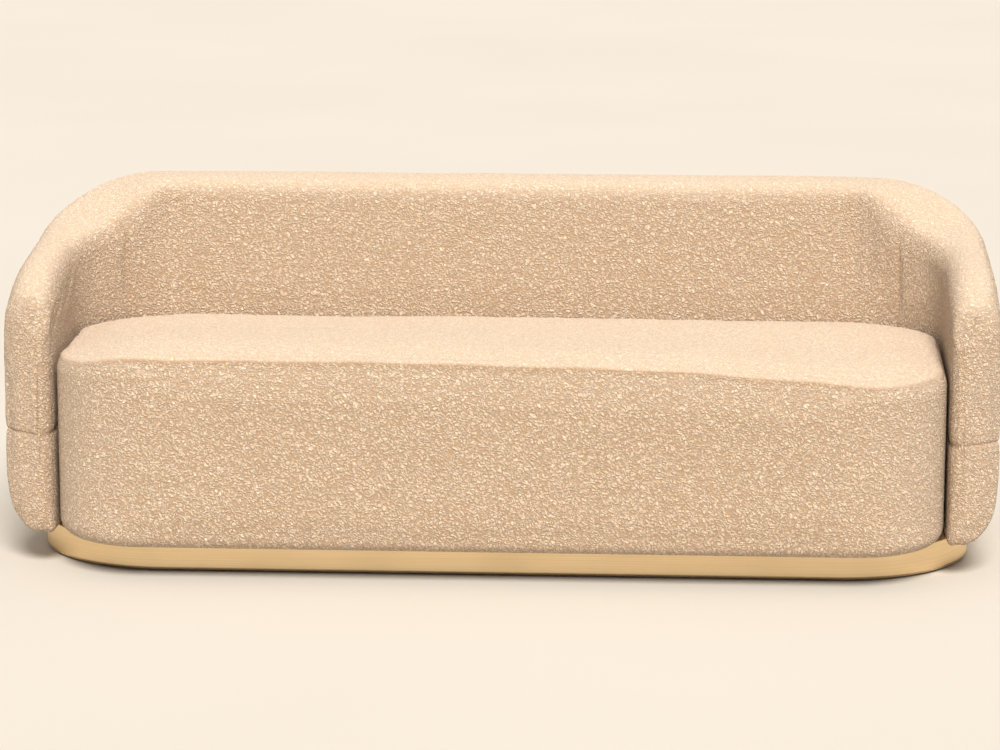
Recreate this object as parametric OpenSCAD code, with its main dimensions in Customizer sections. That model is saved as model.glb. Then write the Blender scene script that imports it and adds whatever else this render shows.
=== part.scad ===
// Upholstered sofa: a shell of back and arms bent round a one-piece seat, both bolted down on a recessed plinth.
// +X is to the right seen from the front, the front faces -Y and +Z is up. The origin is on the floor, under the
// middle of the sofa. Millimetres.

/* [Overall] */
// Width over the arms
sofa_w = 2050; // [1700:10:2500]
// Depth from the front of the seat to the back of the shell
sofa_d = 865; // [800:5:1050]
// Height of the back
sofa_h = 735; // [660:5:900]
// Height of the top of the seat at its middle
seat_h = 464; // [420:1:520]

/* [Shell] */
// Thickness of the arms
arm_t = 100; // [96:1:140]
// Thickness of the back at the height of the seat
back_t = 243; // [200:1:270]
// How much thinner the back is at its top
back_rake = 52; // [0:1:70]
// Height of the arms where they meet the corners
arm_rear_h = 660; // [580:5:700]
// Height of the arms behind their rounded fronts
arm_front_h = 598; // [560:2:660]
// Height that the front of an arm rounds off
arm_drop = 110; // [60:5:150]
// Length over which the front of an arm rounds off
arm_run = 220; // [100:5:260]
// Distance of the arm fronts behind the front of the seat
arm_setback = 114; // [40:1:130]
// Outside radius of the shell's corners
shell_r = 298; // [260:1:340]
// Width the arm's front corner rounds off, on the outside
nose_w = 60; // [30:1:64]
// Radius of the long edges along the shell's top
top_r = 50; // [30:1:53]
// Width of the rounded lower outside edge
hem_w = 76; // [50:1:85]
// Height of the rounded lower outside edge
hem_h = 98; // [60:1:104]
// Height of the join between the upper and the lower cover
belt_z = 285; // [240:1:340]

/* [Seat] */
// Radius of the seat's front corners, from above
seat_front_r = 190; // [150:1:260]
// Radius of the seat's rear corners, from above
seat_rear_r = 216; // [190:1:260]
// Gap between the seat and the shell
seat_gap = 4; // [2:0.5:8]
// Height of the crown above the seat's upper edge
seat_crown = 10; // [0:1:30]
// Radius of the seat's upper edge
seat_edge_r = 34; // [15:1:45]
// Radius of the seat's lower edge
seat_foot_r = 32; // [15:1:33]
// Height of the seat's welt seam above the start of the upper edge
seam_up = 26; // [4:1:30]
// Height of the seat's rails
rail_h = 150; // [110:5:170]

/* [Base] */
// Height of the floor glides
glide_h = 6; // [4:1:12]
// Height of the plinth above the glides
plinth_h = 64; // [50:1:100]
// Distance of the plinth in from the shell's sides
plinth_side_in = 40; // [25:1:80]
// Distance of the plinth behind the arm fronts
plinth_front_in = -15; // [-40:1:60]
// Distance of the plinth in from the shell's back
plinth_rear_in = 60; // [40:1:100]
// Radius of the plinth's front corners
plinth_front_r = 285; // [230:1:300]
// Radius of the plinth's rear corners
plinth_rear_r = 250; // [200:1:260]

/* [Materials] */
// Thickness of the fabric with its wadding
cover_t = 4; // [3:0.5:6]
// Thickness of the plinth's metal band
band_t = 1.5; // [1:0.1:2]
// Thickness of the plinth's boards
board_t = 18; // [15:1:21]
// Thickness of the deck on the plinth
deck_t = 12; // [9:1:15]
// Thickness of the seat's rails
rail_t = 25; // [20:1:28]
// Thickness of the shell's timber
frame_t = 45; // [40:1:48]
// Thickness of the bent plywood skins
ply_t = 4; // [3:0.5:5]
// Thickness of the webbing
web_t = 1.5; // [1:0.1:2.5]
// Width of a webbing strap
web_w = 70; // [50:5:80]
// Radius of a wood screw's shank
screw_r = 2.5; // [2:0.1:3]

/* [Hidden] */
fit = 0.5;                                  // clearance between a soft edge and a board
base_z = glide_h + plinth_h;                // underside of the seat and the shell
half_w = sofa_w / 2;
y_front = -sofa_d / 2;                      // front of the seat
y_arm = y_front + arm_setback;              // front of the arms
y_back = sofa_d / 2;                        // back of the shell
seat_hx = half_w - arm_t - seat_gap;        // half the seat's width
y_seat_back = y_back - back_t - seat_gap;
inner_r = seat_rear_r + seat_gap;           // inside radius of the shell's corners
outer_c = [half_w - shell_r, y_back - shell_r];
inner_c = [half_w - arm_t - inner_r, y_back - back_t - inner_r];
arm_l = outer_c[1] - y_arm;                 // straight length of an arm's outside
knee_z = seat_h - 20;                       // the back's inside face is upright below this
seat_edge_z = seat_h - seat_crown;          // top of the seat's edge before the crown
seam_z = seat_edge_z - seat_edge_r + seam_up;

nose_in = arm_t * 0.22;                     // rounding of an arm's front on the inside
nose_l = nose_w;                            // length over which the nose rounds
foot_drop = 46;                             // rounding of an arm's front at its lower edge
cavity_d = nose_l + 2;                      // the timber starts this far behind an arm's front
frame_q = 36;                               // timber starts this far in from the shell's outside
skin_q = frame_q - ply_t;
frame_q2 = frame_q + frame_t;
skin_q2 = frame_q2 + ply_t;
hem_q = 60;                                 // the base boards start this far in
hem_in = 10;                                // and stop this far from the shell's inside
base_t = 24;
post_z = base_z + base_t;                   // the bottom rails stand here
skin_z = post_z + 18;                       // lower edge of the plywood skins
bottom_rail_h = 40;
top_rail_h = 36;
top_pad = 42;                               // foam and cover over the timber along the top
rib_t = 18;
rib_turns = [18, 36, 54, 72];
upright_w = 60;
upright_n = 5;
back_strap_n = 4;
back_strap_w = 60;
top_rail_z = sofa_h - top_pad - top_rail_h;
corner_n = 9;
arc_n = 5;

rail_in = 35;                               // the seat's rails stand this far in from its outline
dust_t = 1;
rail_z = base_z + dust_t;
rail_top = rail_z + rail_h;
web_z = rail_top + 2 * web_t;               // the springy platform's upper face
pad_t = 3;
core_z = web_z + pad_t;
core_top = seat_edge_z - 43;
cross_w = 25;
cross_down = 34;                            // the cross rails stay this far under the webbing
cross_at = [-0.68, -0.21, 0.21, 0.68];
strap_n = 11;
cross_strap_at = [0.14, 0.38, 0.62, 0.86];

plinth_hx = half_w - plinth_side_in;
plinth_y0 = y_arm + plinth_front_in;
plinth_y1 = y_back - plinth_rear_in;
wood_in = band_t + board_t;                 // inside face of the plinth's boards
ring_top = base_z - deck_t;
piece_w = 40;
piece_at = [-0.46, 0, 0.46];
block_l = 70;
block_w = 44;
glide_r = 14;
nail_r = 1.2;
nail_head_r = 3;
nail_l = 22;
screw_l = 46;
head_r = 4.6;
head_h = 3;

fabric = "peachpuff";
foam = "lemonchiffon";
timber = "burlywood";
birch = "wheat";
steel = "silver";

// ---- helpers ----

function smooth(t) = let (c = max(0, min(1, t))) c * c * (3 - 2 * c);
function fall(t) = t >= 1 ? 0 : 1 - sqrt(1 - (1 - t) * (1 - t));
function arc(c, r, a0, a1, n = 12) = [for (i = [0:n]) let (a = a0 + (a1 - a0) * i / n) c + r * [cos(a), sin(a)]];
function flip(points) = [for (i = [len(points) - 1:-1:0]) [-points[i][0], points[i][1]]];
function back_to_front(points) = [for (i = [len(points) - 1:-1:0]) points[i]];

// A plan with straight sides and four round corners, drawn e inside its edge, anticlockwise from the front right.
function round_plan(hx, y0, y1, rf, rr, e = 0, n = 12) = concat(
    arc([hx - rf, y0 + rf], rf - e, -90, 0, n), arc([hx - rr, y1 - rr], rr - e, 0, 90, n),
    arc([rr - hx, y1 - rr], rr - e, 90, 180, n), arc([rf - hx, y0 + rf], rf - e, 180, 270, n));
function seat_plan(e, n = 12) = round_plan(seat_hx, y_front, y_seat_back, seat_front_r, seat_rear_r, e, n);
function plinth_plan(e, n = 12) = round_plan(plinth_hx, plinth_y0, plinth_y1, plinth_front_r, plinth_rear_r, e, n);

module slab(plan, z0, z1) translate([0, 0, z0]) linear_extrude(z1 - z0) polygon(plan);
module box(a, b) translate(a) cube(b - a);

// A quarter ring with a rectangular section, turned by a.
module bend(c, r0, r1, a, z0, z1)
    translate([c[0], c[1], z0]) rotate([0, 0, a]) rotate_extrude(angle = 90)
        translate([r0, 0]) square([r1 - r0, z1 - z0]);

module both_sides() {
    children();
    mirror([1, 0, 0]) children();
}

// A closed skin through rings of equal length, the first ring and the last one capped flat.
module loft(rings) {
    m = len(rings[0]);
    k = len(rings);
    sides = [for (i = [0:k - 2], j = [0:m - 1]) let (a = i * m + j, b = i * m + (j + 1) % m)
        each [[a, b, b + m], [a, b + m, a + m]]];
    caps = [[for (j = [m - 1:-1:0]) j], [for (j = [0:m - 1]) (k - 1) * m + j]];
    polyhedron([for (r = rings) each r], concat(sides, caps), convexity = 8);
}

module shank(p, z0, l) translate([p[0], p[1], z0]) cylinder(r = screw_r, h = l, $fn = 32);
module screw_from_below(p, z0, l) {
    shank(p, z0, l);
    translate([p[0], p[1], z0 - head_h]) cylinder(r = head_r, h = head_h, $fn = 32);
}
module screw_from_above(p, z1, l) {
    shank(p, z1 - l, l - head_h);
    translate([p[0], p[1], z1 - head_h]) cylinder(r = head_r, h = head_h, $fn = 32);
}

// ---- the shell's bent path ----

// A station is ["arm", distance behind the arm's front], ["corner", degrees round the corner] or ["back", distance
// from the middle]. All give the right half; the left half is its mirror image.
nose_st = [for (d = [0, 3, 10, 22, 38, cavity_d]) ["arm", d]];
arm_st = [for (f = [0.2, 0.34, 0.48, 0.66, 0.82, 0.92]) ["arm", cavity_d + (arm_l - cavity_d) * f]];
corner_st = [for (i = [0:corner_n]) ["corner", 90 * i / corner_n]];
back_st = concat(corner_st, [["back", min(inner_c[0], outer_c[0] - 1)]]);
straight_st = concat([["arm", cavity_d]], arm_st, [["corner", 0]]);
side_st = concat([["arm", cavity_d]], arm_st, corner_st);

function is_arm(st) = st[0] == "arm";
function is_back(st) = st[0] == "back";
function turn(st) = is_arm(st) ? 0 : is_back(st) ? 90 : st[1];
function arm_top(d) = arm_front_h + (arm_rear_h - arm_front_h) * min(1, d / arm_l) - arm_drop * fall(d / arm_run);
function top_z(st) = is_arm(st) ? arm_top(st[1])
    : arm_rear_h + (sofa_h - arm_rear_h) * pow(smooth(turn(st) / 72), 0.7);
function low_z(st) = base_z + (is_arm(st) ? foot_drop * fall(st[1] / foot_drop) : 0);

function outside(st) = is_arm(st) ? [half_w - nose_w * fall(st[1] / nose_l), y_arm + st[1]]
    : is_back(st) ? [st[1], y_back] : outer_c + shell_r * [cos(st[1]), sin(st[1])];

// The inside face of an arm bends into the corner before the outside face does.
function inside_x(y) = y <= inner_c[1] ? half_w - arm_t
    : inner_c[0] + sqrt(max(0, inner_r * inner_r - pow(y - inner_c[1], 2)));
function inside(st) = is_arm(st) ? [inside_x(y_arm + st[1]) + nose_in * fall(st[1] / nose_in), y_arm + st[1]]
    : is_back(st) ? [st[1], y_back - back_t]
    : let (u = [cos(st[1]), sin(st[1])], v = outer_c - inner_c, b = v * u,
        round_hit = outer_c + u * (sqrt(max(0, b * b - v * v + inner_r * inner_r)) - b))
      round_hit[0] >= inner_c[0] ? round_hit : outer_c + u * (y_back - back_t - outer_c[1]) / u[1];
function thick(st) = norm(outside(st) - inside(st));

// The point q in from the outside face.
function spot(st, q) = outside(st) + (inside(st) - outside(st)) * q / thick(st);
function spots(sts, q) = [for (st = sts) spot(st, q)];
function strip(sts, q0, q1) = concat(spots(sts, q0), back_to_front(spots(sts, q1)));

// The padded outline of the shell at one station, e inside its face, as [q, z] from the outer hem round the top.
function outline(st, e) = let (
    t = thick(st), zb = low_z(st) + e, zt = top_z(st) - e, tt = t - back_rake * smooth(turn(st) / 90),
    hw0 = min(hem_w, t * 0.72), hw = max(1, hw0 - e), hh = hem_h * hw / hem_w,
    tr = max(1, min(top_r, tt / 2 - 0.5) - e), fr = max(1, min(15, t / 4) - e))
    concat(
        [for (i = [0:arc_n]) let (a = 90 * i / arc_n) [e + hw * (1 - sin(a)), zb + hh * (1 - cos(a))]],
        [for (i = [0:arc_n]) let (a = 90 * i / arc_n) [e + tr * (1 - cos(a)), zt - tr * (1 - sin(a))]],
        [for (i = [0:arc_n]) let (a = 90 * i / arc_n) [tt - e - tr * (1 - sin(a)), zt - tr * (1 - cos(a))]],
        [[t - e, min(knee_z, zt - tr - 20)]],
        [for (i = [0:2]) let (a = 45 * i) [t - e - fr * (1 - cos(a)), zb + fr * (1 - sin(a))]]);

// The same outline with the hollow for the timber let in from below.
function channel(st) = let (
    e = cover_t, t = thick(st), o = outline(st, e), zt = top_z(st) - top_pad, zb = base_z + e,
    part = (o[0][0] - hem_q) / (o[0][0] - o[1][0]))
    concat(
        [[hem_q, o[0][1] + (o[1][1] - o[0][1]) * part]],
        [for (i = [1:3 * arc_n + 3]) o[i]],
        [[t - e, zb + 10], [t - hem_in, zb], [t - hem_in, post_z], [skin_q2, post_z], [skin_q2, zt], [skin_q, zt],
         [skin_q, skin_z], [frame_q, skin_z], [frame_q, post_z], [hem_q, post_z]]);

function ring(st, section) = [for (p = section) let (s = spot(st, p[0])) [s[0], s[1], p[1]]];
function mirror_rings(rings) = [for (i = [len(rings) - 1:-1:0]) [for (p = rings[i]) [-p[0], p[1], p[2]]]];

// The whole padded body, e inside its face.
module shell_body(e) {
    nose = [for (st = nose_st) let (s = ["arm", st[1] + e * (1 - st[1] / cavity_d)]) ring(s, outline(s, e))];
    rest = [for (st = concat(arm_st, back_st)) ring(st, outline(st, e))];
    right = concat(nose, rest);
    loft(concat(right, mirror_rings(right)));
}

// A wall that follows the plan strip and is cut to a side view given as [y, z].
module wall(plan, side_view) intersection() {
    slab(plan, 0, sofa_h);
    translate([-sofa_w, 0, 0]) rotate([90, 0, 90]) linear_extrude(2 * sofa_w) polygon(side_view);
}

// The height of the timber's top, down below the cover, as a side view over the stations at q.
function under_top(sts, q, down) = [for (st = sts) [spot(st, q)[1], top_z(st) - down]];
function side_view(sts, q, lo, down) = let (u = under_top(sts, q, down), n = len(u) - 1)
    concat([[u[0][0], lo], [u[n][0] + 1, lo], [u[n][0] + 1, u[n][1]]], back_to_front(u));

// ---- base ----

front_mid_y = plinth_y0 + wood_in + block_w / 2;
rear_mid_y = plinth_y1 - wood_in - block_w / 2;
glide_x = plinth_hx - max(plinth_front_r, plinth_rear_r) - block_l / 2 - 8;
glide_spots = [for (f = [-1, -0.34, 0.34, 1], y = [front_mid_y, rear_mid_y]) [f * glide_x, y]];
board_mid = band_t + board_t / 2;
side_mid_y = (plinth_y0 + plinth_front_r + plinth_y1 - plinth_rear_r) / 2;
deck_spots = concat(
    [for (f = [-0.6, -0.2, 0.2, 0.6]) [f * plinth_hx, plinth_y0 + board_mid]],
    [for (f = [-0.6, -0.2, 0.2, 0.6]) [f * plinth_hx, plinth_y1 - board_mid]],
    [for (s = [-1, 1]) [s * (plinth_hx - board_mid), side_mid_y]]);

module floor_glides() color("dimgray") for (p = glide_spots) difference() {
    translate([p[0], p[1], 0]) cylinder(r = glide_r, h = glide_h, $fn = 48);
    translate([p[0], p[1], -1]) cylinder(r = nail_head_r, h = glide_h / 2 + 1, $fn = 32);
    translate([p[0], p[1], -1]) cylinder(r = nail_r, h = glide_h + 2, $fn = 24);
}

module glide_nails() color(steel) for (p = glide_spots) {
    translate([p[0], p[1], glide_h / 2 - 1.2]) cylinder(r = nail_head_r, h = 1.2, $fn = 32);
    translate([p[0], p[1], glide_h / 2]) cylinder(r = nail_r, h = nail_l, $fn = 24);
}

module plinth_band() color("goldenrod") difference() {
    slab(plinth_plan(0, 24), glide_h, base_z - fit);
    slab(plinth_plan(band_t, 24), 0, base_z + 1);
}

module deck_screw_holes() for (p = deck_spots) screw_from_above(p, base_z, screw_l);

module straight_board(y0, y1, r) difference() {
    box([r - plinth_hx, y0, glide_h], [plinth_hx - r, y1, ring_top]);
    deck_screw_holes();
}
module plinth_front_board() color(birch)
    straight_board(plinth_y0 + band_t, plinth_y0 + wood_in, plinth_front_r);
module plinth_rear_board() color(birch)
    straight_board(plinth_y1 - wood_in, plinth_y1 - band_t, plinth_rear_r);
module plinth_side_boards() color(birch) both_sides() difference() {
    box([plinth_hx - wood_in, plinth_y0 + plinth_front_r, glide_h],
        [plinth_hx - band_t, plinth_y1 - plinth_rear_r, ring_top]);
    deck_screw_holes();
}
module plinth_corner_bends() color(birch) both_sides() {
    difference() {
        slab(arc_sector([plinth_hx - plinth_front_r, plinth_y0 + plinth_front_r], plinth_front_r - band_t, -90),
            glide_h, ring_top);
        slab(arc_sector([plinth_hx - plinth_front_r, plinth_y0 + plinth_front_r], plinth_front_r - wood_in, -90),
            0, base_z);
    }
    difference() {
        slab(arc_sector([plinth_hx - plinth_rear_r, plinth_y1 - plinth_rear_r], plinth_rear_r - band_t, 0),
            glide_h, ring_top);
        slab(arc_sector([plinth_hx - plinth_rear_r, plinth_y1 - plinth_rear_r], plinth_rear_r - wood_in, 0),
            0, base_z);
    }
}
function arc_sector(c, r, a) = concat([c], arc(c, r, a, a + 90, 24));

module plinth_crosspieces() color(birch) for (f = piece_at)
    box([f * plinth_hx - piece_w / 2, plinth_y0 + wood_in, glide_h],
        [f * plinth_hx + piece_w / 2, plinth_y1 - wood_in, ring_top]);

module plinth_glide_blocks() color(timber) difference() {
    for (p = glide_spots)
        box([p[0] - block_l / 2, p[1] - block_w / 2, glide_h], [p[0] + block_l / 2, p[1] + block_w / 2, ring_top]);
    glide_nails();
}

module plinth_deck() color(birch) difference() {
    slab(plinth_plan(band_t, 24), ring_top, base_z);
    deck_screw_holes();
    seat_screw_holes();
    shell_screw_holes();
}

module plinth_screws() color(steel) deck_screw_holes();

// ---- seat ----

rail_y0 = y_front + rail_in;
rail_y1 = y_seat_back - rail_in;
rail_hx = seat_hx - rail_in;
seat_spots = [for (f = cross_at, g = [0.3, 0.6, 0.85]) [f * rail_hx, plinth_y0 + (rail_y1 - plinth_y0) * g]];
module seat_screw_holes() for (p = seat_spots) screw_from_below(p, ring_top, screw_l);

module seat_front_rail() color(timber)
    box([seat_front_r - seat_hx, rail_y0, rail_z], [seat_hx - seat_front_r, rail_y0 + rail_t, rail_top]);
module seat_rear_rail() color(timber)
    box([seat_rear_r - seat_hx, rail_y1 - rail_t, rail_z], [seat_hx - seat_rear_r, rail_y1, rail_top]);
module seat_side_rails() color(timber) both_sides()
    box([rail_hx - rail_t, y_front + seat_front_r, rail_z], [rail_hx, y_seat_back - seat_rear_r, rail_top + web_t]);
module seat_corner_bends() color(birch) both_sides() {
    bend([seat_hx - seat_front_r, y_front + seat_front_r], seat_front_r - rail_in - rail_t, seat_front_r - rail_in,
        -90, rail_z, rail_top);
    bend([seat_hx - seat_rear_r, y_seat_back - seat_rear_r], seat_rear_r - rail_in - rail_t, seat_rear_r - rail_in,
        0, rail_z, rail_top);
}
module seat_cross_rails() color(timber) difference() {
    for (f = cross_at) box([f * rail_hx - cross_w / 2, rail_y0 + rail_t, rail_z],
        [f * rail_hx + cross_w / 2, rail_y1 - rail_t, rail_top - cross_down]);
    seat_screw_holes();
}
module seat_screws() color(steel) seat_screw_holes();

strap_span = 2 * (seat_hx - max(seat_front_r, seat_rear_r)) - web_w;
module seat_webbing_long() color("darkkhaki") for (i = [0:strap_n - 1]) let (x = strap_span * (i / (strap_n - 1) - 0.5))
    box([x - web_w / 2, rail_y0, rail_top], [x + web_w / 2, rail_y1, rail_top + web_t]);
cross_span = y_seat_back - seat_rear_r - y_front - seat_front_r;
cross_strap_w = min(web_w * 0.6, cross_span * (cross_strap_at[1] - cross_strap_at[0]) * 0.9);
module seat_webbing_cross() color("darkkhaki") for (f = cross_strap_at)
    let (y = y_front + seat_front_r + cross_span * f)
    box([-rail_hx, y - cross_strap_w / 2, rail_top + web_t], [rail_hx, y + cross_strap_w / 2, web_z]);
module seat_insulator_pad() color("gainsboro") slab(seat_plan(rail_in + 1), web_z, web_z + pad_t);

// Rings of the seat's body, e inside its face: round the lower edge, up the side, round the upper edge, over the crown.
function seat_ring(e, inset, z) = [for (p = back_to_front(seat_plan(e + inset))) [p[0], p[1], z]];
module seat_body(e) {
    fr = seat_foot_r - e;
    er = seat_edge_r - e;
    top = seat_edge_z - e;
    loft(concat(
        [for (i = [0:4]) let (a = 90 * i / 4) seat_ring(e, fr * (1 - sin(a)), base_z + e + fr * (1 - cos(a)))],
        [for (i = [0:4]) let (a = 90 * i / 4) seat_ring(e, er * (1 - cos(a)), top - er * (1 - sin(a)))],
        [for (g = [[0.14, 0.3], [0.34, 0.6], [0.62, 0.88], [0.9, 1]])
            seat_ring(e, er + (seat_front_r - er - e - 2) * g[0], top + seat_crown * g[1])]));
}
module seat_padding(z0, z1) intersection() {
    seat_body(cover_t);
    box([-sofa_w, -sofa_d, z0], [sofa_w, sofa_d, z1]);
}
module seat_surround() difference() {
    seat_padding(0, core_top);
    slab(seat_plan(rail_in - fit), 0, sofa_h);
}
module cut_box(x0, x1, y0, y1) intersection() {
    children();
    box([x0, y0, 0], [x1, y1, sofa_h]);
}
seat_y_a = y_front + seat_front_r;
seat_y_b = y_seat_back - seat_rear_r;

module seat_foam_core() color(foam) slab(seat_plan(rail_in), core_z, core_top);
module seat_foam_topper() color("ivory") seat_padding(core_top, sofa_h);
module seat_front_foam() color(foam)
    cut_box(seat_front_r - seat_hx, seat_hx - seat_front_r, y_front, seat_y_a) seat_surround();
module seat_rear_foam() color(foam)
    cut_box(seat_rear_r - seat_hx, seat_hx - seat_rear_r, seat_y_b, y_seat_back) seat_surround();
module seat_side_foams() color(foam) both_sides() cut_box(0, seat_hx, seat_y_a, seat_y_b) seat_surround();
module seat_corner_foams() color(foam) both_sides() {
    cut_box(seat_hx - seat_front_r, seat_hx, y_front, seat_y_a) seat_surround();
    cut_box(seat_hx - seat_rear_r, seat_hx, seat_y_b, y_seat_back) seat_surround();
}
module seat_cover(z0, z1) difference() {
    intersection() {
        seat_body(0);
        box([-sofa_w, -sofa_d, z0], [sofa_w, sofa_d, z1]);
    }
    seat_body(cover_t);
    slab(seat_plan(rail_in - fit), 0, base_z + 2 * cover_t);
}
module seat_top_cover() color(fabric) seat_cover(seam_z, sofa_h);
module seat_border_cover() color(fabric) seat_cover(0, seam_z);
module seat_dust_cover() color("dimgray") difference() {
    slab(seat_plan(rail_in), base_z, base_z + dust_t);
    seat_screw_holes();
}

// ---- shell ----

base_spots = concat(
    [for (s = [-1, 1], y = [-100, -15, 70]) [s * (half_w - arm_t + hem_in + 6), side_mid_y + y]],
    [for (f = [-0.86, -0.32, 0.32, 0.86]) [f * outer_c[0], plinth_y1 - wood_in - 110]]);
module shell_screw_holes() for (p = base_spots) screw_from_below(p, ring_top, screw_l - 14);

module base_board_arms() color(birch) both_sides() difference() {
    slab(strip(straight_st, hem_q, arm_t - hem_in), base_z, post_z);
    shell_screw_holes();
}
function back_strip(q0) = let (o = spots(back_st, q0), i = [for (st = back_st) spot(st, thick(st) - hem_in)])
    concat(o, flip(o), [for (p = i) [-p[0], p[1]]], back_to_front(i));
module base_board_back() color(birch) difference() {
    slab(back_strip(hem_q), base_z, post_z);
    shell_screw_holes();
}
module bottom_rail_arms() color(timber) both_sides()
    box([half_w - frame_q2, y_arm + cavity_d + frame_t, post_z], [half_w - frame_q, outer_c[1], post_z + bottom_rail_h]);
module bottom_rail_back() color(timber)
    box([-outer_c[0], y_back - frame_q2, post_z], [outer_c[0], y_back - frame_q, post_z + bottom_rail_h]);
module corner_plates() color(birch) both_sides()
    slab(strip(corner_st, frame_q, frame_q2), post_z, post_z + bottom_rail_h);
module top_rail_arms() color(timber) both_sides() difference() {
    wall([[half_w - frame_q2, y_arm + cavity_d + frame_t], [half_w - frame_q, y_arm + cavity_d + frame_t],
        [half_w - frame_q, outer_c[1]], [half_w - frame_q2, outer_c[1]]], side_view(straight_st, frame_q, post_z, top_pad));
    translate([0, 0, -top_rail_h]) wall([[0, y_arm], [sofa_w, y_arm], [sofa_w, y_back], [0, y_back]],
        side_view(straight_st, frame_q, 0, top_pad));
}
module top_rail_back() color(timber)
    box([-outer_c[0], y_back - frame_q2, top_rail_z], [outer_c[0], y_back - frame_q, top_rail_z + top_rail_h]);
module arm_posts() color(timber) both_sides()
    wall([[half_w - frame_q2, y_arm + cavity_d], [half_w - frame_q, y_arm + cavity_d],
        [half_w - frame_q, y_arm + cavity_d + frame_t], [half_w - frame_q2, y_arm + cavity_d + frame_t]],
        side_view(straight_st, frame_q, post_z, top_pad));
module corner_ribs() color(birch) both_sides() for (a = rib_turns)
    translate([outer_c[0], outer_c[1], post_z + bottom_rail_h]) rotate([0, 0, a])
        translate([shell_r - frame_q2 + fit, -rib_t / 2, 0])
        cube([frame_t - 2 * fit - 1, rib_t, top_z(["corner", a - 4]) - top_pad - post_z - bottom_rail_h - 1]);
module back_uprights() color(timber) for (i = [0:upright_n - 1])
    let (x = 2 * (outer_c[0] - upright_w / 2) * (i / (upright_n - 1) - 0.5))
    box([x - upright_w / 2, y_back - frame_q2, post_z + bottom_rail_h], [x + upright_w / 2, y_back - frame_q, top_rail_z]);
module back_webbing() color("darkkhaki") for (i = [0:back_strap_n - 1])
    let (z = post_z + 100 + (top_rail_z - post_z - 160) * i / (back_strap_n - 1))
    box([-outer_c[0], y_back - frame_q2 - web_t, z - back_strap_w / 2], [outer_c[0], y_back - frame_q2, z + back_strap_w / 2]);

module outer_ply(side) mirror([side, 0, 0])
    wall(strip(side_st, skin_q, frame_q), side_view(side_st, skin_q, skin_z, top_pad));
module outer_ply_left() color(birch) outer_ply(1);
module outer_ply_right() color(birch) outer_ply(0);
module outer_ply_back() color(birch)
    box([-outer_c[0], y_back - frame_q, skin_z], [outer_c[0], y_back - skin_q, sofa_h - top_pad]);
module inner_ply_arms() color(birch) both_sides()
    wall(strip(straight_st, frame_q2, skin_q2), side_view(straight_st, frame_q2, post_z, top_pad));

module nose_foam(side) mirror([side, 0, 0]) intersection() {
    shell_body(cover_t);
    box([0, y_arm - 1, 0], [sofa_w, y_arm + cavity_d, sofa_h]);
}
module arm_foam(side) mirror([side, 0, 0]) loft([for (st = straight_st) ring(st, channel(st))]);
module arm_nose_foam_left() color(foam) nose_foam(1);
module arm_nose_foam_right() color(foam) nose_foam(0);
module arm_foam_left() color(foam) arm_foam(1);
module arm_foam_right() color(foam) arm_foam(0);
module back_foam() color(foam) {
    right = [for (st = back_st) ring(st, channel(st))];
    loft(concat(right, mirror_rings(right)));
}
module shell_cover(z0, z1) difference() {
    intersection() {
        shell_body(0);
        box([-sofa_w, -sofa_d, z0], [sofa_w, sofa_d, z1]);
    }
    shell_body(cover_t);
    both_sides() slab(strip(straight_st, hem_q - fit, arm_t - hem_in + fit), 0, post_z);
    slab(back_strip(hem_q - fit), 0, post_z);
}
module shell_upper_cover() color(fabric) shell_cover(belt_z, sofa_h + 1);
module shell_lower_cover() color(fabric) shell_cover(0, belt_z);
module shell_screws() color(steel) shell_screw_holes();

floor_glides();
glide_nails();
plinth_band();
plinth_front_board();
plinth_rear_board();
plinth_side_boards();
plinth_corner_bends();
plinth_crosspieces();
plinth_glide_blocks();
plinth_deck();
plinth_screws();
seat_front_rail();
seat_rear_rail();
seat_side_rails();
seat_corner_bends();
seat_cross_rails();
seat_screws();
seat_webbing_long();
seat_webbing_cross();
seat_insulator_pad();
seat_foam_core();
seat_foam_topper();
seat_front_foam();
seat_rear_foam();
seat_side_foams();
seat_corner_foams();
seat_top_cover();
seat_border_cover();
seat_dust_cover();
base_board_arms();
base_board_back();
bottom_rail_arms();
bottom_rail_back();
corner_plates();
top_rail_arms();
top_rail_back();
arm_posts();
corner_ribs();
back_uprights();
back_webbing();
outer_ply_left();
outer_ply_back();
outer_ply_right();
inner_ply_arms();
arm_nose_foam_left();
arm_nose_foam_right();
arm_foam_left();
arm_foam_right();
back_foam();
shell_upper_cover();
shell_lower_cover();
shell_screws();
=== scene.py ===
"""The looks of a bouclé sofa: a bent shell of back and arms, a one-piece seat and a brass-faced plinth, dressed
over the frame's timber. Metres throughout; +X is right, the front faces -Y, +Z is up."""
import math

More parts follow.
